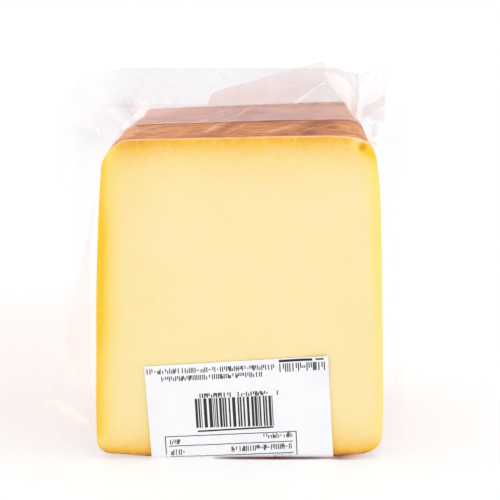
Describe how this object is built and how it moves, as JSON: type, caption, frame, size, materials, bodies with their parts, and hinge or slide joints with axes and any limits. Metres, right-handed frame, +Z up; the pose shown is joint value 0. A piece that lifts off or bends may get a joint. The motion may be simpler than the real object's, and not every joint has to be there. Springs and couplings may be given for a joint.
{
  "type": "vacuum-packed block of smoked cheddar",
  "caption": "Block of smoked cheddar standing upright in a clear vacuum bag, with a flat film margin round it and a price label folded under its front edge.",
  "frame": {"origin": "on the flat underside, under the middle of the block", "axes": "+Z up, the labelled cut face looks along -Y, +X is to the right seen from the front"},
  "size_m": [0.1232, 0.0712, 0.121],
  "materials": {
    "cheese_in_film": "pale yellow cheese with a brown smoked rind, seen through clear glossy film",
    "label_paper": "white satin label paper with black print"
  },
  "bodies": {
    "root": {"vacuum_bag": "cheese_in_film", "price_label": "label_paper"}
  },
  "joints": []
}
